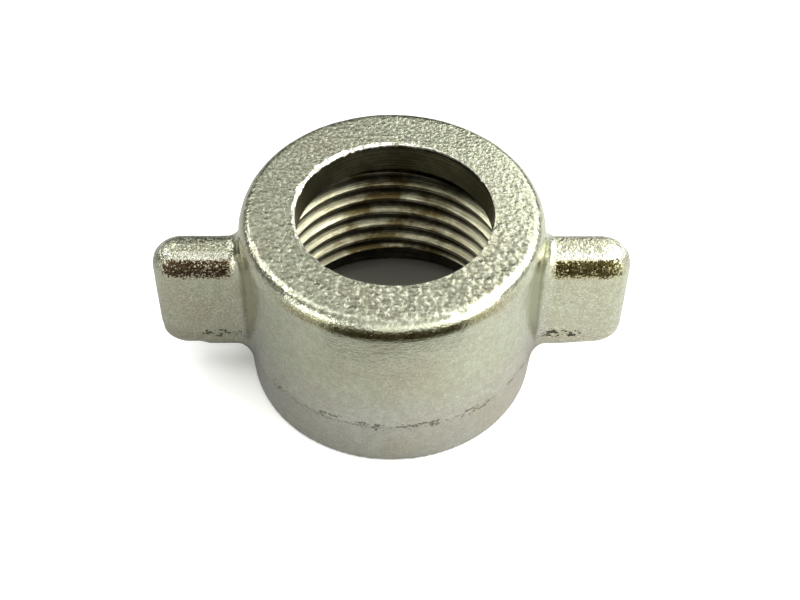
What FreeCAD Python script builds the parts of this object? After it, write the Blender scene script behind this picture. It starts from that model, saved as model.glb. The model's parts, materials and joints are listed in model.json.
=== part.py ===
import FreeCAD, Part

import math
import os

# Wing nut of a pipe union: one nickel-plated brass forging with two finger wings.
# Millimetres.  The origin is the centre of the open bottom ring, +Z runs up the
# collar towards its lip, and the wings lie along X.

# ---------------------------------------------------------------- driving sizes
# Forged collar
collar_diameter = 28.0
collar_height = 19.4
base_diameter = 27.1        # the collar draws in below the parting plane
parting_height = 5.6        # where the two forging dies met
top_edge_round = 1.3
base_edge_chamfer = 0.2

# Finger wings
wing_span = 44.5            # over both tips, at the top of the wings
wing_span_low = 44.0        # the same at the parting plane
wing_thickness = 4.9
wing_top = 15.2
wing_bottom = 3.4
wing_corner = 2.9           # upper outer corner of the wing seen from the front
wing_edge_round = 2.2       # along the top and down the outer end
wing_lower_round = 1.3      # round the underside
wing_root_round = 1.3       # hollow round where a wing meets the collar

# Machined bore.  The lathe work sits slightly off the forging's own centre.
bore_offset_x = 0.20
bore_offset_y = -0.10
lip_bore_diameter = 18.0    # lets the tail of the union through and holds its flange
lip_thickness = 3.4
lip_chamfer = 0.3
relief_diameter = 23.4      # run-out groove above the thread
relief_length = 2.05
entry_diameter = 24.2       # plain entry below the thread
entry_depth = 2.75
entry_chamfer = 0.6

# Thread G 5/8, right hand, 14 threads per inch, 55 degree Whitworth form
threads_per_inch = 14
thread_major_diameter = 22.911
thread_bore_diameter = 20.7  # crest diameter of the finished internal thread
thread_angle = 55.0
groove_start_angle = -58.0   # where the groove starts, about the bore axis
lead_in_clearance = 0.1      # the lead-in cone opens this far past the major radius

# ---------------------------------------------------------------- derived sizes
pitch = 25.4 / threads_per_inch
flank_slope = math.tan(math.radians(thread_angle / 2))
sharp_v_height = pitch / (2 * flank_slope)
thread_major_radius = thread_major_diameter / 2
thread_bore_radius = thread_bore_diameter / 2
thread_apex_radius = thread_major_radius + sharp_v_height / 6
lip_underside = collar_height - lip_thickness
thread_top = lip_underside - relief_length

# ---------------------------------------------------------------- how it is cut
bore_sectors = 12            # the bore is cut as this many equal wedges
cutter_overrun = 1.0         # how far the bore cutter stands out of both faces
groove_overlap = 0.3         # how far the groove cutter reaches into the open bore
on_plane = 0.01              # closer than this counts as lying on a plane

axis = FreeCAD.Vector(0, 0, 1)
centre = FreeCAD.Vector(0, 0, 0)
bore_place = FreeCAD.Vector(bore_offset_x, bore_offset_y, 0)


def point(radius, height):
    """A point of a turned outline, in the XZ plane."""
    return FreeCAD.Vector(radius, 0, height)


def outline_face(corners):
    """A flat face inside a closed outline of straight runs."""
    return Part.Face(Part.makePolygon(corners + corners[:1]))


def turned(face, degrees=360.0):
    """A solid of revolution about the Z axis."""
    return face.revolve(centre, axis, degrees)


def collar_blank():
    """The solid round body: drafted base, straight wall and rounded top edge."""
    base_radius = base_diameter / 2
    collar_radius = collar_diameter / 2
    round_start = point(collar_radius, collar_height - top_edge_round)
    round_end = point(collar_radius - top_edge_round, collar_height)
    inset = top_edge_round * (1 - math.sin(math.radians(45)))
    round_middle = point(collar_radius - inset, collar_height - inset)
    corners = [
        point(0, 0),
        point(base_radius - base_edge_chamfer, 0),
        point(base_radius, base_edge_chamfer),
        point(collar_radius, parting_height),
        round_start,
    ]
    edges = Part.makePolygon(corners).Edges
    edges.append(Part.Arc(round_start, round_middle, round_end).toShape())
    edges += Part.makePolygon([round_end, point(0, collar_height), corners[0]]).Edges
    blank = turned(Part.Face(Part.Wire(edges)))
    blank.rotate(centre, axis, 90)    # keeps the seam of the round faces off the wings
    return blank


def upper_wings():
    """The part of both wings above the parting plane, as one tapered bar."""
    outline = [
        point(-wing_span_low / 2, parting_height),
        point(-wing_span / 2, wing_top),
        point(wing_span / 2, wing_top),
        point(wing_span_low / 2, parting_height),
    ]
    face = outline_face(outline)
    face.translate(FreeCAD.Vector(0, -wing_thickness / 2, 0))
    bar = face.extrude(FreeCAD.Vector(0, wing_thickness, 0))
    corners = [
        e for e in bar.Edges
        if abs(e.CenterOfMass.y) < on_plane and e.CenterOfMass.z > wing_top - on_plane
    ]
    bar = bar.makeFillet(wing_corner, corners)
    rim = [
        e for e in bar.Edges
        if abs(e.CenterOfMass.y) > wing_thickness / 2 - on_plane
        and e.CenterOfMass.z > parting_height + on_plane
    ]
    return bar.makeFillet(wing_edge_round, rim)


def lower_wings(upper):
    """The part of both wings below the parting plane, on the upper part's footprint."""
    footprint = [f for f in upper.Faces if f.CenterOfMass.z < parting_height + on_plane][0]
    bar = footprint.extrude(FreeCAD.Vector(0, 0, wing_bottom - parting_height))
    rim = [e for e in bar.Edges if e.CenterOfMass.z < wing_bottom + on_plane]
    return bar.makeFillet(wing_lower_round, rim)


def forging():
    """Collar and wings as one body, with hollow rounds at the wing roots."""
    upper = upper_wings()
    body = collar_blank().multiFuse([upper, lower_wings(upper)]).removeSplitter()
    roots = []
    for edge in body.Edges:
        reach = [math.hypot(v.X, v.Y) for v in edge.Vertexes]
        beside_wing = max(abs(v.Y) for v in edge.Vertexes) < wing_thickness / 2 + on_plane
        on_wall = min(reach) > base_diameter / 2 and max(reach) < collar_diameter / 2 + on_plane
        if beside_wing and on_wall:
            roots.append(edge)
    return body.makeFillet(wing_root_round, roots)


def bore_void():
    """Everything the lathe removes before threading, in equal sectors."""
    entry_radius = entry_diameter / 2
    lead_start = thread_major_radius + lead_in_clearance
    lead_rise = lead_start - thread_bore_radius
    lip_radius = lip_bore_diameter / 2
    corners = [
        point(0, -cutter_overrun),
        point(entry_radius + entry_chamfer + cutter_overrun, -cutter_overrun),
        point(entry_radius, entry_chamfer),
        point(entry_radius, entry_depth),
        point(lead_start, entry_depth),
        point(thread_bore_radius, entry_depth + lead_rise),
        point(thread_bore_radius, thread_top),
        point(relief_diameter / 2, thread_top),
        point(relief_diameter / 2, lip_underside),
        point(lip_radius, lip_underside),
        point(lip_radius, collar_height - lip_chamfer),
        point(lip_radius + lip_chamfer + cutter_overrun, collar_height + cutter_overrun),
        point(0, collar_height + cutter_overrun),
    ]
    step = 360.0 / bore_sectors
    wedge = turned(outline_face(corners), step)
    wedges = []
    for i in range(bore_sectors):
        turned_wedge = wedge.copy()
        turned_wedge.rotate(centre, axis, i * step)
        wedges.append(turned_wedge)
    return wedges[0].multiFuse(wedges[1:])


def thread_groove():
    """The helical V groove, open into the entry below and the relief above."""
    inner = thread_bore_radius - groove_overlap
    outer = thread_major_radius
    half_inner = (thread_apex_radius - inner) * flank_slope
    half_outer = (thread_apex_radius - outer) * flank_slope
    start = entry_depth - pitch / 2
    finish = thread_top + relief_length / 2
    helix = Part.makeLongHelix(pitch, finish - start, thread_bore_radius, 0.0, False)
    helix.translate(FreeCAD.Vector(0, 0, start))
    section = Part.makePolygon([
        point(inner, start - half_inner),
        point(outer, start - half_outer),
        point(outer, start + half_outer),
        point(inner, start + half_inner),
        point(inner, start - half_inner),
    ])
    groove = Part.Wire(helix.Edges).makePipeShell([section], True, True)
    groove.rotate(centre, axis, groove_start_angle)
    return groove


def wing_nut():
    """The finished nut."""
    void = bore_void()
    void.translate(bore_place)
    groove = thread_groove()
    groove.translate(bore_place)
    return forging().cut(void).cut(groove)


os.makedirs("parts", exist_ok=True)
nut = wing_nut().Solids[0]
print("valid", nut.isValid(), "volume", round(nut.Volume, 1), "mm3")
print(nut.optimalBoundingBox(True, False))
nut.exportStep("parts/wing_nut_body.step")
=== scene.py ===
import json
import math
from types import SimpleNamespace

import bmesh
import bpy
import numpy as np
from mathutils import Matrix, Vector, noise


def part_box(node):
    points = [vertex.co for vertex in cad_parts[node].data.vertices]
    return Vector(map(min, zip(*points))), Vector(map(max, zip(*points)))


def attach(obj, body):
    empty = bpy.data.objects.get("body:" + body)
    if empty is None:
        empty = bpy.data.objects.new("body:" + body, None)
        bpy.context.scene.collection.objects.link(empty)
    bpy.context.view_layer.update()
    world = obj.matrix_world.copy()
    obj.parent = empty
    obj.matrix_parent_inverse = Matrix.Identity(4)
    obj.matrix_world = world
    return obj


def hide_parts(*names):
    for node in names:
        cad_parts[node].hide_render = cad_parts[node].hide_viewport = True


# Wing nut of a pipe union: a blasted, nickel-plated brass forging with a turned and threaded bore.
# Geometry is worked out in millimetres and turned into metres where a mesh, light or camera is made.

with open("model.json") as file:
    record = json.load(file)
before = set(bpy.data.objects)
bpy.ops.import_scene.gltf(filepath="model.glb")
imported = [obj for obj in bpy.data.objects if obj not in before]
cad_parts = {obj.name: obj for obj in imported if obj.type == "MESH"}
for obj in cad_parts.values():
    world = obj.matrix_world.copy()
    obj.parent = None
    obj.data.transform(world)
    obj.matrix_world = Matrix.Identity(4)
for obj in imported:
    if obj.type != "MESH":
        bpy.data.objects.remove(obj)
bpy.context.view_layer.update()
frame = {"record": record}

MM = 0.001
NODE = "wing_nut_body"
node_low, node_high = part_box(NODE)
mounts = {m["name"]: m for m in frame["record"]["mounts"]}

# ---------------------------------------------------------------- sizes from the frame, in mm
collar_height = node_high.z / MM
collar_radius = node_high.y / MM
wing_reach = node_high.x / MM
bore_x = mounts["thread"]["pos_m"][0] / MM
bore_y = mounts["thread"]["pos_m"][1] / MM
crest_radius = mounts["thread"]["dims"]["r_mm"]
lip_radius = mounts["lip_bore"]["dims"]["r_mm"]
lip_underside = mounts["lip_seat"]["pos_m"][2] / MM
entry_radius = mounts["entry_bore"]["dims"]["r_mm"]

# ---------------------------------------------------------------- forging, in mm
skin = 0.05                  # room that the relief keeps inside the collar's own size
base_radius = 13.5
parting_height = 5.6         # where the two forging dies met
collar_edge_round = 1.35     # how far the top edge's rounding reaches inward
collar_edge_drop = 2.0       # and how far down
base_edge_round = 0.3
wing_taper = 0.026           # the wings grow this much longer per mm of height
wing_half_thickness = 2.45
wing_draft = 0.036           # each wing face leans in by this much per mm of height
wing_top = 15.35
wing_bottom = 3.05
wing_corner = 2.9
wing_edge_round = 2.0
wing_edge_drop = 2.6
wing_lower_round = 1.3
wing_root_round = 1.3
short_underside = 0.35       # the outer half of the left wing's underside ends this much higher
rising_underside = 0.35      # the right wing's underside rises this much towards its tip
short_from = 17.3            # distances along the wings where these two begin and end
short_to = 18.6
rising_from = 15.0
rising_to = 21.5
wing_spare = 0.05            # extra length before the corners are rounded
nicks = (                    # small dents in the rim: angle, half width, depth
    (math.radians(28), 0.035, 0.32),
    (math.radians(-27), 0.030, 0.20),
)

# ---------------------------------------------------------------- relief of the forging, in mm
waviness = 0.035
waviness_length = 5.0
swell = 0.016
swell_length = 1.7
grain_length = 0.8
wall_grain = 0.006           # height of the blasted grain on the walls
top_grain = 0.010            # and how much higher it is on faces that look up
flash_drop = 0.15            # the trimmed flash runs this much lower on the wings
flash_drop_from = 13.9
flash_drop_to = 15.2
flash_slope = 0.07           # and falls this much per mm towards the right tip
flash_slope_from = 14.5      # from this far out
flash_wander = 0.16
flash_wander_length = 4.0
flash_step = 0.10            # the lower die's half is this much smaller
flash_ridge = 0.05
flash_ridge_width = 0.25
ragged_length = 2.6
wing_zone_from = 14.2        # distance from the nut's axis where the wings' own look begins
wing_zone_to = 15.2
wing_grain_low = 2.6         # depths under the wings' top between which their grain coarsens
wing_grain_high = 1.8

# ---------------------------------------------------------------- thread and bore, in mm
pitch = 25.4 / 14
flank_slope = math.tan(math.radians(55 / 2))
root_radius = 22.911 / 2
apex_radius = root_radius + pitch / (12 * flank_slope)
groove_start_angle = math.radians(-58)
relief_radius = 11.7
relief_length = 2.05
thread_top = lip_underside - relief_length
entry_depth = 2.75
entry_chamfer = 0.6
lead_in_radius = root_radius + 0.1
groove_root_blend = 0.16     # how softly the groove's flanks run into its floor
crest_blend = 0.10           # and into the crests
mouth_break = 0.06           # small rounds where turned faces meet
edge_break = 0.08
relief_round = 0.1
seat_round = 0.15
tool_overrun = 1.0
rim_middle = 0.09            # width of the chamfer round the lip hole
rim_swing = 0.21
rim_least = 0.02
rim_ripple = 0.05
rim_ripple_long = 0.10       # the ripple's two wavelengths, on a circle of radius 1
rim_ripple_short = 0.04
rim_widest = math.radians(150)

# ---------------------------------------------------------------- mesh
net_pitch = 0.23             # grid of the forging's surface net
net_margin = 3               # empty grid cells round the forging
relax_rounds = 4
bore_columns = 288
groove_rows = (0.10, 0.17, 0.36, 0.54, 0.70, 0.755, 0.86)   # either side of a groove's middle
lip_rows = 12
weld_distance = 0.0001
sharp_angle = math.radians(35)
MACHINED = 1                 # the bore's place in the list of materials

# ---------------------------------------------------------------- camera and staging
camera_elevation = math.radians(47.93)
camera_turn = math.radians(-1.055)
camera_roll = math.radians(0.8125)
camera_distance = 155.6
camera_target = (0.785, 0.0, 7.427)
camera_lens = 73.6
camera_clip = 0.01           # in metres
floor_size = 1.1             # in metres
card_near = 31.0             # the dark card leans away from the nut, in mm
card_far = 75.0
card_foot = 0.5
card_height = 18.5
card_columns = 17
card_left = math.radians(-38)
card_right = math.radians(42)
card_black = (0.03, 0.026, 0.012, 1)
floor_white = (0.63, 0.63, 0.63, 1)
floor_left_painted_shade = (0.45, 0.45, 0.45, 1)      # painted shade: the floor is greyer to the left of the nut, except as the camera sees it
floor_left_end = -0.002      # in metres: all grey up to here, all white from the next
floor_white_start = 0.016
floor_lifted = (1.22, 1.22, 1.22, 1)    # as the camera sees it: paper exposed to white
floor_in_bore_painted_shade = (0.47, 0.46, 0.40, 1)   # painted shade: as the camera sees it through the bore
floor_bore_end = 0.0128      # in metres from the nut's axis
floor_lifted_start = 0.0135
world_dim = (0.06, 0.06, 0.05, 1)
world_pale = (1.0, 1.0, 1.0, 1)
softboxes = (                # name, place, width, height, radiance of its face
    ("top_softbox", (0, -10, 450), 320, 390, 0.98),
    ("top_front_softbox", (0, -300, 350), 520, 240, 0.8),
    ("front_softbox", (40, -420, 165), 420, 240, 1.75),
    ("right_softbox", (370, 20, 300), 460, 340, 4.6),
    ("right_bridge", (225, -30, 400), 150, 210, 3.5),
    ("right_front_strip", (300, -250, 120), 260, 170, 5.5),
    ("left_softbox", (-345, 140, 320), 320, 240, 3.3),
    ("left_bridge", (-225, -30, 400), 150, 210, 2.6),
    ("left_front_strip", (-310, -250, 65), 240, 150, 4.2),
    ("back_softbox", (112, 135, 150), 190, 170, 2.3),
    ("back_fill", (-200, 360, 400), 420, 300, 0.85),
)

# ---------------------------------------------------------------- colours, linear RGBA
nickel_upper = (0.585, 0.615, 0.455, 1)
nickel_lower = (0.60, 0.61, 0.53, 1)
nickel_wing = (0.585, 0.595, 0.43, 1)
nickel_warm = (0.55, 0.49, 0.36, 1)
satin_shade = (0.30, 0.27, 0.19, 1)
# painted shade in the grain's hollows, and painted highlight on its peaks
grain_hollow_painted_shade = (0.20, 0.20, 0.13, 1)
grain_peak_painted_highlight = (0.92, 0.94, 0.78, 1)
mottle_dark = (0.22, 0.21, 0.16, 1)
# painted shade under the flash line
below_flash_painted_shade = (0.34, 0.29, 0.21, 1)
patch_dark = (0.26, 0.24, 0.18, 1)
# painted glints in the grain
glint_bright = (0.92, 0.93, 0.82, 1)
# painted highlight along the wings' crest
crest_painted_highlight = (1.0, 1.0, 0.88, 1)
# dark specks in the wings' grain, which grow into painted shade towards the left
wing_speck_painted_shade = (0.16, 0.16, 0.12, 1)
# painted dark reflection along the wings' shoulder: its yellowish tint, then its near-black patches
shoulder_reflection_tint_right = (0.60, 0.55, 0.25, 1)
shoulder_reflection_tint_left = (0.60, 0.54, 0.38, 1)
shoulder_dark_reflection_right = (0.042, 0.032, 0.008, 1)
shoulder_dark_reflection_left = (0.042, 0.024, 0.009, 1)
# painted dark reflection along the collar's top edge, with a yellowish tint
edge_dark_reflection = (0.20, 0.165, 0.05, 1)
pit_on_collar = (0.11, 0.085, 0.045, 1)
pit_on_wing = (0.03, 0.025, 0.01, 1)
turned_bright = (0.74, 0.73, 0.51, 1)
# dark patches on the bore, gathered at the middle of its back and front
turned_dark_patch = (0.15, 0.115, 0.045, 1)
# painted dark reflection on the lip wall
lip_wall_painted_dark_reflection = (0.12, 0.105, 0.06, 1)
lip_line = (0.36, 0.34, 0.21, 1)
ring_streak = (0.10, 0.08, 0.04, 1)
# painted shade in the thread's grooves and in the relief under the lip
groove_painted_shade = (0.030, 0.024, 0.012, 1)
rim_dull = (0.30, 0.28, 0.20, 1)
rim_bright = (0.90, 0.90, 0.80, 1)


# ================================================================ distance field of the forging
def round_edge(a, b, radius, drop=None):
    """Distance to what lies inside both faces a and b, with the edge between them rounded off.

    The rounding reaches radius along face b and drop, where it is given, along face a.
    """
    b = b * radius / (drop or radius)
    corner = np.hypot(np.maximum(a + radius, 0), np.maximum(b + radius, 0))
    return np.minimum(np.maximum(a, b), -radius) + corner


def hollow_edge(a, b, radius):
    """Distance to a and b joined, with a hollow round of that radius between them."""
    corner = np.hypot(np.maximum(radius - a, 0), np.maximum(radius - b, 0))
    return np.maximum(np.minimum(a, b), radius) - corner


def smooth_step(low, high, value):
    """0 below low, 1 above high, and an even S curve between."""
    t = np.clip((value - low) / (high - low), 0, 1)
    return t * t * (3 - 2 * t)


def collar_distance(x, y, z):
    """The round body before it is bored: drawn in below the parting plane, rounded on top."""
    drawn_in = np.clip((parting_height - z) / parting_height, 0, 1)
    radius = collar_radius - skin - (collar_radius - skin - base_radius) * drawn_in
    wall = np.hypot(x, y) - radius
    upper = round_edge(wall, z - (collar_height - skin), collar_edge_round, collar_edge_drop)
    return round_edge(upper, -z, base_edge_round)


def wing_distance(x, y, z):
    """Both wings as one bar with rounded edges and an underside that is uneven at both tips."""
    half_span = wing_reach + wing_spare + wing_taper * (z - wing_top)
    half_thickness = wing_half_thickness - wing_draft * np.maximum(z - parting_height, 0)
    outline = round_edge(np.abs(x) - half_span, z - wing_top, wing_corner)
    sides = round_edge(np.abs(y) - half_thickness, outline, wing_edge_round, wing_edge_drop)
    underside = wing_bottom + short_underside * smooth_step(short_from, short_to, -x)
    underside += rising_underside * smooth_step(rising_from, rising_to, x)
    return round_edge(sides, underside - z, wing_lower_round)


def forging_distance(points):
    """Signed distance in mm from points (N x 3, or a tuple of arrays) to the smooth forging."""
    x, y, z = points
    return hollow_edge(collar_distance(x, y, z), wing_distance(x, y, z), wing_root_round)


def forging_slope(p):
    """Gradient of the distance field at points p (N x 3)."""
    step = 0.01
    columns = []
    for axis in range(3):
        ahead, behind = p.copy(), p.copy()
        ahead[:, axis] += step
        behind[:, axis] -= step
        columns.append(forging_distance(ahead.T) - forging_distance(behind.T))
    return np.stack(columns, 1) / (2 * step)


def forging_normal(p):
    """Outward direction of the distance field at points p (N x 3)."""
    slope = forging_slope(p)
    return slope / np.maximum(np.linalg.norm(slope, axis=1, keepdims=True), 1e-9)


# ================================================================ surface net of a distance field
def surface_net(field, origin, cell):
    """Vertices and quads of the surface where field is 0: one vertex in each crossed grid cell."""
    inside = field < 0
    cells = [n - 1 for n in field.shape]

    def corner(array, i, j, k):
        """The values of array at one corner of every cell."""
        return array[i:i + cells[0], j:j + cells[1], k:k + cells[2]]

    offsets = [(i, j, k) for i in (0, 1) for j in (0, 1) for k in (0, 1)]
    filled = sum(corner(inside, *o).astype(np.int8) for o in offsets)
    crossed = (filled > 0) & (filled < 8)
    index = np.full(cells, -1)
    index[crossed] = np.arange(crossed.sum())
    place = np.argwhere(crossed).astype(float)
    total = np.zeros_like(place)
    hits = np.zeros(len(place))
    for start in offsets:
        for axis in range(3):
            if start[axis]:
                continue
            end = list(start)
            end[axis] = 1
            a = corner(field, *start)[crossed]
            b = corner(field, *end)[crossed]
            cut = (a < 0) != (b < 0)
            point = np.tile(np.array(start, float), (cut.sum(), 1))
            point[:, axis] += a[cut] / (a[cut] - b[cut])
            total[cut] += point
            hits[cut] += 1
    vertices = origin + (place + total / hits[:, None]) * cell
    quads = []
    for axis in range(3):
        u, v = (axis + 1) % 3, (axis + 2) % 3
        near = [slice(1, -1)] * 3
        near[axis] = slice(0, -1)
        far = list(near)
        far[axis] = slice(1, None)
        outward = inside[tuple(near)] & ~inside[tuple(far)]
        inward = ~inside[tuple(near)] & inside[tuple(far)]
        for change, order in ((outward, (0, 1, 2, 3)), (inward, (3, 2, 1, 0))):
            at = np.argwhere(change)
            at[:, u] += 1
            at[:, v] += 1
            ring = []
            for du, dv in ((-1, -1), (0, -1), (0, 0), (-1, 0)):
                c = at.copy()
                c[:, u] += du
                c[:, v] += dv
                ring.append(index[c[:, 0], c[:, 1], c[:, 2]])
            quads.append(np.stack([ring[o] for o in order], 1))
    return vertices, np.concatenate(quads)


def relaxed(vertices, quads, rounds):
    """Evens out the net: each vertex moves to its neighbours' middle, then back to the surface."""
    ends = np.concatenate([quads[:, [i, (i + 1) % 4]] for i in range(4)])
    count = np.bincount(ends[:, 0], minlength=len(vertices))[:, None]
    for _ in range(rounds):
        mean = np.stack(
            [np.bincount(ends[:, 0], vertices[ends[:, 1], a], len(vertices)) for a in range(3)], 1
        ) / count
        vertices = 0.5 * vertices + 0.5 * mean
        for _ in range(2):
            slope = forging_slope(vertices)
            steepness = np.maximum((slope * slope).sum(axis=1), 0.05)
            vertices -= slope * (forging_distance(vertices.T) / steepness)[:, None]
    return vertices


# ================================================================ relief of the forging
def noise_at(points, wavelength, seed=0.0):
    """Smooth noise between about -1 and 1 at points in mm, with bumps about a wavelength across."""
    shift = Vector((seed, 2 * seed, -seed))
    scale = 1 / wavelength
    return np.array([noise.noise(Vector(p) * scale + shift) for p in points.tolist()])


def grain_share(p, normal):
    """How coarse the blasting left the surface: 1 on faces that look up, less on the walls."""
    facing_up = smooth_step(0.35, 0.85, normal[:, 2])
    on_wing = smooth_step(wing_zone_from, wing_zone_to, np.hypot(p[:, 0], p[:, 1]))
    wing_crest = smooth_step(wing_top - wing_grain_low, wing_top - wing_grain_high, p[:, 2])
    return np.maximum(facing_up, on_wing * wing_crest)


def flash_height(p):
    """Height of the trimmed flash line, which wanders a little round the part."""
    reach = np.hypot(p[:, 0], p[:, 1])
    lower = flash_drop * smooth_step(flash_drop_from, flash_drop_to, reach)
    lower = lower + flash_slope * np.maximum(p[:, 0] - flash_slope_from, 0)
    wander = flash_wander * noise_at(p * (1, 1, 0), flash_wander_length, 7.0)
    return parting_height - lower + wander


def with_relief(p):
    """Adds what the dies, the trimming and the blasting left: waviness, grain and a flash line."""
    normal = forging_normal(p)
    grain = grain_share(p, normal)
    upright = smooth_step(0.9, 0.6, np.abs(normal[:, 2]))
    below = flash_height(p) - p[:, 2]
    rough = noise_at(p, grain_length, 3.0)
    relief = waviness * noise_at(p, waviness_length) + swell * noise_at(p, swell_length, 1.0)
    relief += (wall_grain + top_grain * grain) * rough
    ragged = 0.5 + 1.5 * np.maximum(noise_at(p, ragged_length, 11.0), 0)
    relief -= upright * flash_step * smooth_step(-0.15, 0.20, below)
    near_line = np.exp(-(below / flash_ridge_width) ** 2)
    relief += upright * flash_ridge * near_line * rough * ragged
    return p + normal * relief[:, None]


def made_mesh(name, vertices, faces, materials):
    """A smooth-shaded mesh object from vertices in mm."""
    mesh = bpy.data.meshes.new(name)
    mesh.from_pydata((vertices * MM).tolist(), [], faces)
    for material in materials:
        mesh.materials.append(material)
    mesh.validate()
    mesh.polygons.foreach_set("use_smooth", [True] * len(mesh.polygons))
    piece = bpy.data.objects.new(name, mesh)
    bpy.context.scene.collection.objects.link(piece)
    return piece


def forging_mesh(name, materials):
    """The blasted forging before it is bored."""
    reach = np.array([wing_reach + 0.1, collar_radius, collar_height])
    low = np.array([-reach[0], -reach[1], 0.0]) - net_margin * net_pitch
    cells = np.ceil((reach - low) / net_pitch).astype(int) + net_margin
    axes = [low[a] + net_pitch * np.arange(cells[a] + 1) for a in range(3)]
    field = forging_distance(np.meshgrid(*axes, indexing="ij"))
    vertices, quads = surface_net(field, low, net_pitch)
    vertices = with_relief(relaxed(vertices, quads, relax_rounds))
    vertices = np.clip(vertices, np.array(node_low) / MM, np.array(node_high) / MM)
    return made_mesh(name, vertices, quads.tolist(), materials)


# ================================================================ bore tool
def soft_min(a, b, radius):
    """The smaller of a and b, with the change-over rounded."""
    blend = np.maximum(radius - np.abs(a - b), 0) / radius
    return np.minimum(a, b) - blend * blend * radius / 4


def soft_max(a, b, radius):
    """The larger of a and b, with the change-over rounded."""
    return -soft_min(-a, -b, radius)


def thread_radius(turns, z):
    """Radius of the threaded wall at turns, in radians, and height z: crests, grooves, lead-in."""
    climb = pitch * (turns - groove_start_angle) / (2 * math.pi)
    off_middle = (z - entry_depth - climb) % pitch - pitch / 2
    flanks = apex_radius - np.abs(off_middle) / flank_slope
    groove = soft_min(root_radius + 0 * z, flanks, groove_root_blend)
    cone = np.maximum(crest_radius, lead_in_radius - (z - entry_depth))
    return soft_max(cone, groove, crest_blend)


def thread_rows(turns):
    """Rows of the threaded wall. They climb with the thread, and both ends are cut off level."""
    offsets = sorted([-o for o in groove_rows] + list(groove_rows))
    start = entry_depth - pitch / 2 - pitch * groove_start_angle / (2 * math.pi)
    first = math.floor((entry_depth - start) / pitch) - 1
    last = math.ceil((thread_top - start) / pitch)
    rows = []
    for n in range(first, last + 1):
        for offset in offsets:
            height = start + n * pitch + offset + pitch * turns / (2 * math.pi)
            z = np.clip(height, entry_depth, thread_top)
            rows.append((thread_radius(turns, z), z))
    return rows, len(offsets)


def rim_width(turns):
    """Width of the chamfer round the lip hole: cut off centre, so widest at the back left."""
    even = np.maximum(rim_middle + rim_swing * np.cos(turns - rim_widest), rim_least)
    circle = np.stack([np.cos(turns), np.sin(turns), 0 * turns], 1)
    ripple = noise_at(circle, rim_ripple_long) + 0.7 * noise_at(circle, rim_ripple_short)
    width = even * (1 + 0.8 * ripple) + rim_ripple * np.abs(ripple)
    for angle, half_width, depth in nicks:
        away = np.abs((turns - angle + math.pi) % (2 * math.pi) - math.pi)
        width = np.maximum(width, depth * np.maximum(1 - away / half_width, 0))
    return width


def bore_rows(turns):
    """All rings of the bore from below the mouth to above the lip.

    Also gives the first and last row of the thread, and how many rows one turn climbs.
    """
    level = np.ones(len(turns))
    lower = [
        (entry_radius + entry_chamfer + tool_overrun, -tool_overrun),
        (entry_radius + mouth_break, entry_chamfer - mouth_break),
        (entry_radius, entry_chamfer + edge_break),
        (entry_radius, entry_depth - edge_break),
        (entry_radius - edge_break, entry_depth),
    ]
    upper = [
        (relief_radius - relief_round, thread_top),
        (relief_radius, thread_top + relief_round),
        (relief_radius, lip_underside - seat_round),
        (relief_radius - seat_round, lip_underside),
        (lip_radius + edge_break, lip_underside),
        (lip_radius, lip_underside + edge_break),
    ]
    thread, per_turn = thread_rows(turns)
    rows = [(r * level, z * level) for r, z in lower] + thread
    rows += [(r * level, z * level) for r, z in upper]
    rim_low = collar_height - skin - rim_width(turns)
    for share in np.linspace(0, 1, lip_rows + 1)[1:]:
        rows.append((lip_radius * level, lip_underside + share * (rim_low - lip_underside)))
    rim_out = lip_radius + rim_width(turns) + tool_overrun
    rows.append((rim_out, level * (collar_height - skin + tool_overrun)))
    return rows, len(lower), len(lower) + len(thread) - 1, per_turn


def bore_tool(name, materials):
    """The solid that the lathe and the tap remove."""
    turns = np.arange(bore_columns) * 2 * math.pi / bore_columns
    rows, first_thread, last_thread, per_turn = bore_rows(turns)
    vertices = [np.stack([r * np.cos(turns), r * np.sin(turns), z], 1) for r, z in rows]

    def past_seam(row):
        """The row that this one runs on into after a whole turn."""
        if first_thread <= row <= last_thread:
            return min(row + per_turn, last_thread)
        return row

    faces = []
    for row in range(len(rows) - 1):
        for column in range(bore_columns):
            following = (column + 1) % bore_columns
            low, high = row, row + 1
            if following == 0:
                low, high = past_seam(row), past_seam(row + 1)
            faces.append((
                row * bore_columns + column,
                low * bore_columns + following,
                high * bore_columns + following,
                (row + 1) * bore_columns + column,
            ))
    top = (len(rows) - 1) * bore_columns
    faces.append(tuple(range(bore_columns))[::-1])
    faces.append(tuple(range(top, top + bore_columns)))
    vertices = np.concatenate(vertices) + (bore_x, bore_y, 0)
    tool = made_mesh(name, vertices, faces, materials)
    shape = bmesh.new()
    shape.from_mesh(tool.data)
    bmesh.ops.remove_doubles(shape, verts=shape.verts, dist=weld_distance * MM)
    shape.to_mesh(tool.data)
    shape.free()
    tool.data.polygons.foreach_set("material_index", [MACHINED] * len(tool.data.polygons))
    return tool


def bored(forging, tool):
    """The forging with the bore tool taken out of it."""
    cut = forging.modifiers.new("bore", "BOOLEAN")
    cut.operation = "DIFFERENCE"
    cut.solver = "MANIFOLD"
    cut.object = tool
    graph = bpy.context.evaluated_depsgraph_get()
    mesh = bpy.data.meshes.new_from_object(forging.evaluated_get(graph))
    forging.modifiers.clear()
    forging.data = mesh
    bpy.data.objects.remove(tool)
    mesh.set_sharp_from_angle(angle=sharp_angle)
    return forging


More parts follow.
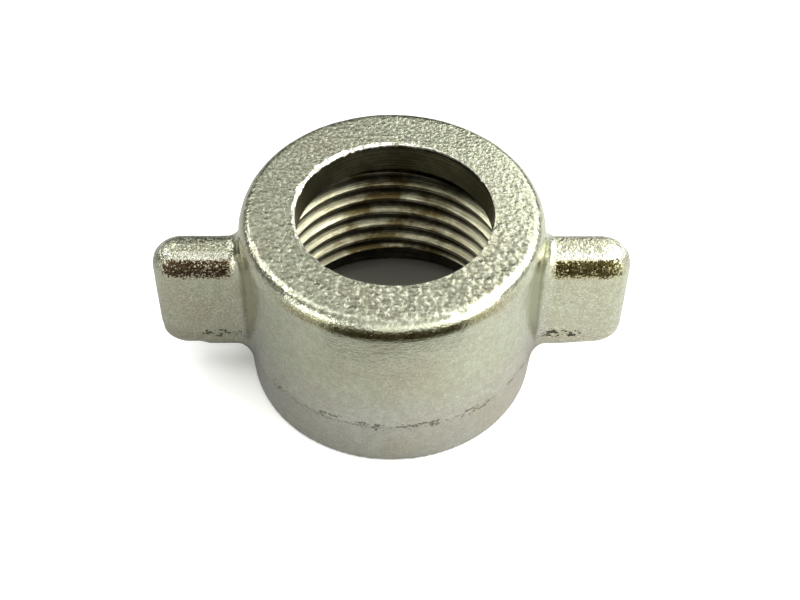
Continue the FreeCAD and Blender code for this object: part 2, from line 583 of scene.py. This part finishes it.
def flash_marks(p, normal, reach):
    """How thick the pits of the trimmed flash lie: in a wandering band, densest by the wing roots."""
    wander = 0.40 * noise_at(p, 2.5, 5.0) * smooth_step(15.0, 13.6, reach)
    off_flash = np.abs(p[:, 2] - flash_height(p) - wander)
    near_flash = smooth_step(0.80, 0.30, off_flash) * (np.abs(normal[:, 2]) < 0.8)
    inner_wing = smooth_step(13.6, 14.2, reach) * smooth_step(18.9, 17.4, reach)
    outer_wing = smooth_step(17.4, 18.9, reach)
    share = 0.65 + 0.3 * smooth_step(-5.0, 0.0, p[:, 0]) + 1.5 * inner_wing - 0.8 * outer_wing
    return near_flash * np.maximum(share, 0)


def collar_edge_marks(p, steep, reach):
    """1 where the collar's top edge turns down into the wall, at the front and back only."""
    edge = smooth_step(0.86, 0.94, steep) * smooth_step(1.0, 0.99, steep)
    edge = edge * (reach < 14.2) * (p[:, 2] > 15)
    return edge * smooth_step(13.0, 7.0, np.abs(p[:, 0]))


def rim_marks(p):
    """1 on the chamfer round the lip hole."""
    across_x, across_y = p[:, 0] - bore_x, p[:, 1] - bore_y
    from_bore = np.hypot(across_x, across_y)
    near_rim = (p[:, 2] > collar_height - 1.2) & (from_bore < lip_radius + 0.8)
    turns = np.arctan2(across_y, across_x)
    rim_low = collar_height - skin - rim_width(turns[near_rim])
    rim = np.zeros(len(p))
    rim[near_rim] = smooth_step(-0.06, 0.0, p[near_rim, 2] - rim_low)
    return rim


def marked(piece):
    """Stores on the mesh what the materials ask for, each as a number from 0 up at every vertex.

    grain: how coarse the blasting is. flash, below_flash: pits of the trimmed flash, and the
    part under it, which gets painted shade. wing, crest, shoulder: the wings, the painted highlight
    along their top edges, and the steep front face just under it, which gets a painted dark
    reflection. edge: the collar's top edge, which gets a painted dark reflection. rim: the lip
    hole's chamfer.
    """
    mesh = piece.data
    p = np.zeros(len(mesh.vertices) * 3)
    mesh.vertices.foreach_get("co", p)
    p = p.reshape(-1, 3) / MM
    normal = forging_normal(p)
    reach = np.hypot(p[:, 0], p[:, 1])
    steep = np.hypot(normal[:, 0], normal[:, 1])
    frontward = -normal[:, 1] / np.maximum(steep, 0.01)
    upper_wing = smooth_step(14.7, 15.3, reach) * (p[:, 2] > 9)
    shoulder = smooth_step(0.74, 0.84, steep) * smooth_step(12.3, 13.3, p[:, 2])
    crest = smooth_step(0.46, 0.64, steep) * smooth_step(0.84, 0.74, steep)
    values = {
        "grain": grain_share(p, normal),
        "flash": flash_marks(p, normal, reach),
        "below_flash": smooth_step(0.25, -0.25, p[:, 2] - flash_height(p)),
        "shoulder": shoulder * upper_wing * smooth_step(0.70, 0.96, frontward),
        "crest": crest * upper_wing,
        "edge": collar_edge_marks(p, steep, reach),
        "wing": smooth_step(14.2, 15.4, reach),
        "rim": rim_marks(p),
    }
    for key, value in values.items():
        layer = mesh.attributes.new(key, "FLOAT", "POINT")
        layer.data.foreach_set("value", value.astype(np.float32))


# ================================================================ materials
def add(tree, kind, inputs=None, **settings):
    """A new node. inputs gives its sockets, by name or number, a value or another node's output."""
    made = tree.nodes.new(kind)
    for key, value in settings.items():
        setattr(made, key, value)
    for key, value in (inputs or {}).items():
        if isinstance(value, bpy.types.NodeSocket):
            tree.links.new(value, made.inputs[key])
        else:
            made.inputs[key].default_value = value
    return made


def maths(tree, operation, a, b=0.0, c=0.0):
    """The output of a Math node on up to three numbers or sockets."""
    return add(tree, "ShaderNodeMath", {0: a, 1: b, 2: c}, operation=operation).outputs[0]


def noise_socket(tree, place, per_mm, detail=2.0, roughness=0.5):
    """The value of a noise texture with about per_mm bumps in a millimetre."""
    inputs = {"Vector": place, "Scale": per_mm, "Detail": detail, "Roughness": roughness}
    return add(tree, "ShaderNodeTexNoise", inputs).outputs[0]


def ramp(tree, value, low, high, start=0.0, end=1.0):
    """Takes value from between low and high to between start and end, and holds it there."""
    inputs = {"Value": value, "From Min": low, "From Max": high, "To Min": start, "To Max": end}
    return add(tree, "ShaderNodeMapRange", inputs).outputs[0]


def times(tree, *factors):
    """The product of numbers and sockets."""
    product = factors[0]
    for factor in factors[1:]:
        product = maths(tree, "MULTIPLY", product, factor)
    return product


def plus(tree, total, value, factor):
    """total, with factor times value added to it."""
    return maths(tree, "MULTIPLY_ADD", value, factor, total)


def stretched(tree, place, scale):
    """Places scaled by a different number along each axis."""
    return add(tree, "ShaderNodeVectorMath", {0: place, 1: scale}, operation="MULTIPLY").outputs[0]


def coordinate(tree, place, axis):
    """One coordinate of a place: axis 0, 1 or 2 for x, y or z."""
    return add(tree, "ShaderNodeSeparateXYZ", {0: place}).outputs[axis]


def length(tree, place):
    """The distance of a place from the origin."""
    return add(tree, "ShaderNodeVectorMath", {0: place}, operation="LENGTH").outputs["Value"]


def from_axis(tree, place):
    """The distance of a place from the z axis."""
    return length(tree, stretched(tree, place, (1, 1, 0)))


def mixed(tree, share, a, b):
    """Colour a where share is 0 and colour b where it is 1."""
    return add(tree, "ShaderNodeMix", {0: share, 6: a, 7: b}, data_type="RGBA").outputs[2]


def painted(tree, colour, coats):
    """The colour under coats. Each coat is a share and the colour that it brings."""
    for share, tint in coats:
        colour = mixed(tree, share, colour, tint)
    return colour


def metal(name):
    """An empty metallic material: its node tree, its shader and places on the part in mm."""
    material = bpy.data.materials.new(name)
    material.use_nodes = True
    tree = material.node_tree
    shader = tree.nodes["Principled BSDF"]
    shader.inputs["Metallic"].default_value = 1.0
    place = add(tree, "ShaderNodeTexCoord").outputs["Object"]
    place = add(tree, "ShaderNodeVectorMath", {0: place, 3: 1 / MM}, operation="SCALE").outputs[0]
    return material, tree, shader, place


def finish_metal(tree, shader, relief, colour, rough):
    """Links a relief in mm, a colour and a roughness to the shader."""
    bump = add(tree, "ShaderNodeBump", {"Height": relief, "Distance": MM, "Strength": 1.0})
    tree.links.new(bump.outputs[0], shader.inputs["Normal"])
    tree.links.new(colour, shader.inputs["Base Color"])
    tree.links.new(rough, shader.inputs["Roughness"])


def attribute(tree, name):
    """The number that the mesh stores under name."""
    return add(tree, "ShaderNodeAttribute", attribute_name=name).outputs["Fac"]


def pit_pattern(tree, place, clumps):
    """1 inside small pits, which are scattered thinly all over and gather along the flash."""
    clusters = noise_socket(tree, place, 0.5, 2.0, 0.6)
    cells = add(tree, "ShaderNodeTexVoronoi", {"Vector": place, "Scale": 3.4, "Randomness": 1.0})
    scattered = ramp(tree, clusters, 0.45, 0.80, -0.10, 0.17)
    in_clumps = ramp(tree, clumps, 0.42, 0.66, 0.08, 0.50)
    spread = plus(tree, scattered, attribute(tree, "flash"), in_clumps)
    return ramp(tree, maths(tree, "SUBTRACT", spread, cells.outputs["Distance"]), -0.10, 0.10)


def pebble_pattern(tree, place):
    """The distance to the middle of the nearest of many soft lumps."""
    inputs = {"Vector": place, "Scale": 1.5, "Randomness": 1.0, "Smoothness": 0.4}
    lumps = add(tree, "ShaderNodeTexVoronoi", inputs, feature="SMOOTH_F1")
    return lumps.outputs["Distance"]


def blasted_fields(tree, place):
    """The patterns that the forging's relief, colour and roughness have in common."""
    grain = attribute(tree, "grain")
    on_wing = attribute(tree, "wing")
    off_wing = maths(tree, "SUBTRACT", 1.0, on_wing)
    collar_grain = times(tree, grain, off_wing)
    leftwards = ramp(tree, coordinate(tree, place, 0), 4.0, -8.0)
    frontwards = ramp(tree, coordinate(tree, place, 1), 7.0, -7.0)
    front_grain = times(tree, grain, frontwards, off_wing)
    inner_ring = ramp(tree, from_axis(tree, place), 12.5, 13.4, 1.0, 0.3)
    clumps = noise_socket(tree, stretched(tree, place, (1, 1, 2)), 0.9, 2.0, 0.6)
    return SimpleNamespace(
        grain=grain,
        on_wing=on_wing,
        collar_grain=collar_grain,
        front_grain=front_grain,
        left_grain=times(tree, collar_grain, leftwards),
        wing_grain=times(tree, grain, on_wing),
        leftwards=leftwards,
        broad=noise_socket(tree, place, 1.45, 1.0, 0.5),
        coarse=noise_socket(tree, place, 3.0, 1.0, 0.5),
        fine=noise_socket(tree, place, 7.0, 2.0, 0.5),
        satin=noise_socket(tree, stretched(tree, place, (1, 1, 3)), 1.6, 4.0, 0.6),
        speck=noise_socket(tree, place, 5.0, 3.0, 0.7),
        clumps=clumps,
        pits=pit_pattern(tree, place, clumps),
        pebbles=pebble_pattern(tree, place),
        pebbly=times(tree, front_grain, inner_ring),
    )


def blasted_relief(tree, f):
    """The height in mm of the blasted skin over the mesh."""
    coarse_height = ramp(tree, f.grain, 0, 1, 0.016, 0.052)
    for where, change in ((f.front_grain, -0.022), (f.wing_grain, 0.063), (f.left_grain, 0.022)):
        coarse_height = plus(tree, coarse_height, where, change)
    fine_height = ramp(tree, f.grain, 0, 1, 0.012, 0.014)
    for where, change in ((f.wing_grain, 0.035), (f.left_grain, 0.014)):
        fine_height = plus(tree, fine_height, where, change)
    relief = times(tree, f.coarse, coarse_height)
    layers = (
        (f.fine, fine_height),
        (f.broad, times(tree, f.front_grain, 0.045)),
        (f.pebbles, times(tree, f.pebbly, -0.105)),
        (f.satin, 0.026),
        (f.pits, -0.045),
    )
    for pattern, height in layers:
        relief = plus(tree, relief, pattern, height)
    return relief


def grain_coats(tree, f, on_side):
    """The grain's painted shade in its hollows, dark specks and patches, painted highlights on its
    peaks, painted glints, and painted shade under the flash line.
    """
    # painted shade in the grain's hollows, where its relief is low
    hollow = ramp(tree, f.coarse, 0.36, 0.54, 0.46, 0.0)
    hollow = plus(tree, hollow, f.pebbly, ramp(tree, f.pebbles, 0.30, 0.55, -0.08, 0.30))
    hollow = maths(tree, "MAXIMUM", times(tree, hollow, f.collar_grain), 0.0)
    # painted highlight on the grain's peaks, where its relief is high
    peak = times(tree, ramp(tree, f.coarse, 0.54, 0.68, 0.0, 0.5), f.collar_grain)
    dark_speck = ramp(tree, f.speck, 0.30, 0.55, 0.30, 0.0)
    mottled = times(tree, dark_speck, ramp(tree, f.grain, 0, 1, 1, 0.2), on_side)
    # painted glints, more of them at the sides
    bright_speck = ramp(tree, f.speck, 0.56, 0.70)
    glints = times(tree, bright_speck, ramp(tree, f.grain, 0, 1, 0.35, 0.1), on_side)
    return (
        (hollow, grain_hollow_painted_shade),
        (peak, grain_peak_painted_highlight),
        (mottled, mottle_dark),
        # painted shade under the flash line
        (times(tree, attribute(tree, "below_flash"), 0.14), below_flash_painted_shade),
        (ramp(tree, f.broad, 0.40, 0.62, 0.18, 0.0), patch_dark),
        (glints, glint_bright),
    )


def wing_coats(tree, f):
    """What sets the wings apart: a painted highlight on the crest, dark grain specks that are painted
    shade towards the left, and a painted dark reflection on the shoulder.
    """
    crest = attribute(tree, "crest")
    shoulder = attribute(tree, "shoulder")
    # painted highlight along the wings' crest, dimmer on the left
    bright = times(tree, crest, ramp(tree, f.speck, 0.38, 0.52, 0.0, 1.0))
    bright = times(tree, bright, ramp(tree, f.leftwards, 0.0, 1.0, 1.0, 0.6))
    # dark specks in the wings' grain, growing into painted shade towards the left
    dusky = times(tree, f.wing_grain, ramp(tree, f.leftwards, 0.2, 1.0, 0.25, 1.0))
    dusky = times(tree, dusky, ramp(tree, f.speck, 0.42, 0.58, 0.85, 0.0))
    dusky = times(tree, dusky, ramp(tree, crest, 0.0, 0.7, 1.0, 0.25))
    # painted dark reflection along the shoulder: a yellowish tint, then near-black patches
    uneven = plus(tree, times(tree, f.speck, -1.0), f.clumps, 0.35)
    shoulder_dark = ramp(tree, plus(tree, uneven, shoulder, 0.30), -0.18, -0.08)
    shoulder_dark = times(tree, shoulder_dark, ramp(tree, shoulder, 0.0, 0.3, 0.0, 0.97))
    return (
        (bright, crest_painted_highlight),
        (dusky, wing_speck_painted_shade),
        (times(tree, shoulder, 0.75), mixed(tree, f.leftwards, shoulder_reflection_tint_right, shoulder_reflection_tint_left)),
        (shoulder_dark, mixed(tree, f.leftwards, shoulder_dark_reflection_right, shoulder_dark_reflection_left)),
    )


def blasted_colour(tree, place, f):
    """The colour of the blasted nickel, from its own tint to the painted dark reflection and pits on
    it.
    """
    low = ramp(tree, coordinate(tree, place, 2), 11.0, 7.0)
    warm = ramp(tree, noise_socket(tree, place, 0.12, 3.0, 0.6), 0.48, 0.72, 0.0, 0.8)
    sideways = maths(tree, "ABSOLUTE", coordinate(tree, place, 0))
    on_side = ramp(tree, sideways, 8.0, 13.0, 1.0, 1.7)
    tints = (
        (low, nickel_lower),
        (times(tree, f.on_wing, 0.8), nickel_wing),
        (warm, nickel_warm),
        (ramp(tree, f.satin, 0.35, 0.65, 0.16, 0.0), satin_shade),
    )
    # painted dark reflection along the collar's top edge, at the front and back
    edge_reflection = times(tree, attribute(tree, "edge"), ramp(tree, f.speck, 0.42, 0.60, 0.85, 0.35))
    in_pits = times(tree, f.pits, ramp(tree, f.on_wing, 0, 1, 0.7, 0.95))
    edge_and_pits = (
        (edge_reflection, edge_dark_reflection),
        (in_pits, mixed(tree, f.on_wing, pit_on_collar, pit_on_wing)),
    )
    coats = tints + grain_coats(tree, f, on_side) + wing_coats(tree, f) + edge_and_pits
    return painted(tree, nickel_upper, coats)


def blasted_nickel():
    """Nickel plating over the blasted forging: coarse sparkling grain on top, satin walls."""
    material, tree, shader, place = metal("blasted_nickel")
    f = blasted_fields(tree, place)
    rough = ramp(tree, noise_socket(tree, place, 0.8, 3.0, 0.6), 0.3, 0.7, 0.17, 0.27)
    rough = plus(tree, rough, f.front_grain, 0.07)
    finish_metal(tree, shader, blasted_relief(tree, f), blasted_colour(tree, place, f), rough)
    return material


def turned_colour(tree, place, centred, radius, rings):
    """The colour of the bore: bright crests, dark patches, painted shade in the grooves, a painted
    dark reflection on the lip wall, and lines left by the lathe.
    """
    height = coordinate(tree, place, 2)
    # dark patches, gathered at the middle of the bore's back and front
    patch_noise = noise_socket(tree, stretched(tree, place, (1, 1, 1.7)), 0.32, 4.0, 0.65)
    sideways = maths(tree, "ABSOLUTE", coordinate(tree, centred, 0))
    patched = times(tree, ramp(tree, patch_noise, 0.36, 0.58), ramp(tree, sideways, 4.0, 8.5, 1, 0.15))
    above_seat = ramp(tree, height, lip_underside + 0.10, lip_underside + 0.30)
    below_top = ramp(tree, height, collar_height - 0.5, collar_height - 0.8)
    in_lip = times(tree, above_seat, below_top)
    # painted shade deep in the thread's grooves and in the relief under the lip
    in_thread = ramp(tree, height, thread_top + 0.05, thread_top - 0.05)
    deep = ramp(tree, radius, crest_radius + 0.42, crest_radius + 0.72, 0.0, 0.85)
    above_thread = ramp(tree, height, thread_top - 0.1, thread_top + 0.05)
    in_relief = maths(tree, "SUBTRACT", above_thread, in_lip)
    shaded_grooves = maths(tree, "MAXIMUM", times(tree, deep, in_thread), times(tree, in_relief, 0.95))
    dots = ramp(tree, noise_socket(tree, place, 4.5, 2.0, 0.6), 0.42, 0.50)
    coats = (
        (patched, turned_dark_patch),
        # painted dark reflection on the lip wall
        (times(tree, in_lip, 0.8), lip_wall_painted_dark_reflection),
        (ramp(tree, rings, 0.40, 0.53, 0.70, 0.0), ring_streak),
        (times(tree, in_lip, ramp(tree, rings, 0.50, 0.64, 0.0, 0.55)), lip_line),
        (shaded_grooves, groove_painted_shade),
        (attribute(tree, "rim"), mixed(tree, dots, rim_dull, rim_bright)),
    )
    return painted(tree, turned_bright, coats)


def turned_nickel():
    """Nickel plating over turned and tapped brass: fine rings round the bore axis, dark patches,
    painted shade in the grooves and a painted dark reflection on the lip wall.
    """
    material, tree, shader, place = metal("turned_nickel")
    inputs = {0: place, 1: (bore_x, bore_y, 0)}
    centred = add(tree, "ShaderNodeVectorMath", inputs, operation="SUBTRACT").outputs[0]
    radius = from_axis(tree, centred)
    section = {0: radius, 2: coordinate(tree, place, 2)}
    rings = noise_socket(tree, add(tree, "ShaderNodeCombineXYZ", section).outputs[0], 6.0, 4.0, 0.7)
    speckle = noise_socket(tree, place, 4.0, 3.0, 0.6)
    relief = plus(tree, times(tree, rings, 0.028), speckle, 0.004)
    colour = turned_colour(tree, place, centred, radius, rings)
    rough = plus(tree, ramp(tree, speckle, 0.3, 0.7, 0.28, 0.40), attribute(tree, "rim"), 0.2)
    finish_metal(tree, shader, relief, colour, rough)
    return material


# ================================================================ stage, lights and camera
def pale_floor():
    """A plain pale floor at the height that the nut stands on, clear when seen from below."""
    mesh = bpy.data.meshes.new("floor")
    half = floor_size / 2
    corners = [(-half, -half, 0), (half, -half, 0), (half, half, 0), (-half, half, 0)]
    mesh.from_pydata(corners, [], [(0, 1, 2, 3)])
    material = bpy.data.materials.new("pale_floor")
    material.use_nodes = True
    tree = material.node_tree
    tree.nodes.remove(tree.nodes["Principled BSDF"])
    seen = add(tree, "ShaderNodeLightPath").outputs["Is Camera Ray"]
    place = add(tree, "ShaderNodeTexCoord").outputs["Object"]
    # painted shade: all but camera rays find the floor greyer on the left
    rightwards = ramp(tree, coordinate(tree, place, 0), floor_left_end, floor_white_start)
    outwards = ramp(tree, length(tree, place), floor_bore_end, floor_lifted_start)
    painted_shade_floor = mixed(tree, rightwards, floor_left_painted_shade, floor_white)
    # painted shade: the camera sees the floor darker inside the bore
    lifted = mixed(tree, outwards, floor_in_bore_painted_shade, floor_lifted)
    colour = mixed(tree, seen, painted_shade_floor, lifted)
    paper = add(tree, "ShaderNodeBsdfDiffuse", {"Color": colour}).outputs[0]
    clear = add(tree, "ShaderNodeBsdfTransparent").outputs[0]
    below = add(tree, "ShaderNodeNewGeometry").outputs["Backfacing"]
    surface = add(tree, "ShaderNodeMixShader", {0: below, 1: paper, 2: clear}).outputs[0]
    tree.links.new(surface, tree.nodes["Material Output"].inputs["Surface"])
    mesh.materials.append(material)
    floor = bpy.data.objects.new("floor", mesh)
    bpy.context.scene.collection.objects.link(floor)


def softbox(name, place, width, height, radiance):
    """A large flat lamp that faces the nut. Its face has that radiance."""
    lamp = bpy.data.lights.new(name, "AREA")
    lamp.shape = "RECTANGLE"
    lamp.size, lamp.size_y = width * MM, height * MM
    lamp.energy = radiance * math.pi * lamp.size * lamp.size_y
    box = bpy.data.objects.new(name, lamp)
    bpy.context.scene.collection.objects.link(box)
    box.location = Vector(place) * MM
    box.rotation_euler = Vector(place).to_track_quat("Z", "Y").to_euler()
    box.visible_camera = False


def dark_card():
    """A dark card standing in front of the nut, which only its reflections show."""
    mesh = bpy.data.meshes.new("dark_card")
    columns = np.linspace(card_left, card_right, card_columns)
    low = [(card_near * math.sin(a), -card_near * math.cos(a), card_foot) for a in columns]
    high = [(card_far * math.sin(a), -card_far * math.cos(a), card_height) for a in columns]
    n = len(columns)
    faces = [(i, i + 1, n + i + 1, n + i) for i in range(n - 1)]
    mesh.from_pydata((np.array(low + high) * MM).tolist(), [], faces)
    material = bpy.data.materials.new("dark_card")
    material.use_nodes = True
    shader = material.node_tree.nodes["Principled BSDF"]
    shader.inputs["Base Color"].default_value = card_black
    shader.inputs["Roughness"].default_value = 1.0
    shader.inputs["Specular IOR Level"].default_value = 0.0
    mesh.materials.append(material)
    card = bpy.data.objects.new("dark_card", mesh)
    bpy.context.scene.collection.objects.link(card)
    card.visible_camera = False
    card.visible_diffuse = False
    card.visible_shadow = False


def studio_world():
    """Pale to the eye, and dim to the nut, as a studio is past its softboxes."""
    world = bpy.data.worlds.new("studio")
    world.use_nodes = True
    tree = world.node_tree
    background = tree.nodes["Background"]
    seen = add(tree, "ShaderNodeLightPath").outputs["Is Camera Ray"]
    colour = mixed(tree, seen, world_dim, world_pale)
    tree.links.new(colour, background.inputs["Color"])
    bpy.context.scene.world = world


def camera():
    """The camera, above and in front of the nut and a little rolled and turned from its axes."""
    c, s = math.cos(camera_elevation), math.sin(camera_elevation)
    back = Vector((0, -c, s))
    right = Vector((1, 0, 0))
    up = Vector((0, s, c))
    cr, sr = math.cos(camera_roll), math.sin(camera_roll)
    rolled_right = cr * right + sr * up
    rolled_up = cr * up - sr * right
    place = (Vector(camera_target) + camera_distance * back) * MM
    pose = Matrix((rolled_right, rolled_up, back)).transposed().to_4x4()
    pose.translation = place
    data = bpy.data.cameras.new("camera")
    data.lens = camera_lens
    data.clip_start = camera_clip
    eye = bpy.data.objects.new("camera", data)
    eye.matrix_world = Matrix.Rotation(camera_turn, 4, "Z") @ pose
    bpy.context.scene.collection.objects.link(eye)
    bpy.context.scene.camera = eye


def build():
    """The nut, and everything round it."""
    camera()
    materials = [blasted_nickel(), turned_nickel()]
    nut = forging_mesh("wing_nut", materials)
    nut = bored(nut, bore_tool("bore_tool", materials))
    marked(nut)
    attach(nut, "root")
    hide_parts(NODE)
    pale_floor()
    dark_card()
    studio_world()
    for lamp in softboxes:
        softbox(*lamp)


build()
bpy.context.scene.view_settings.view_transform = "Standard"
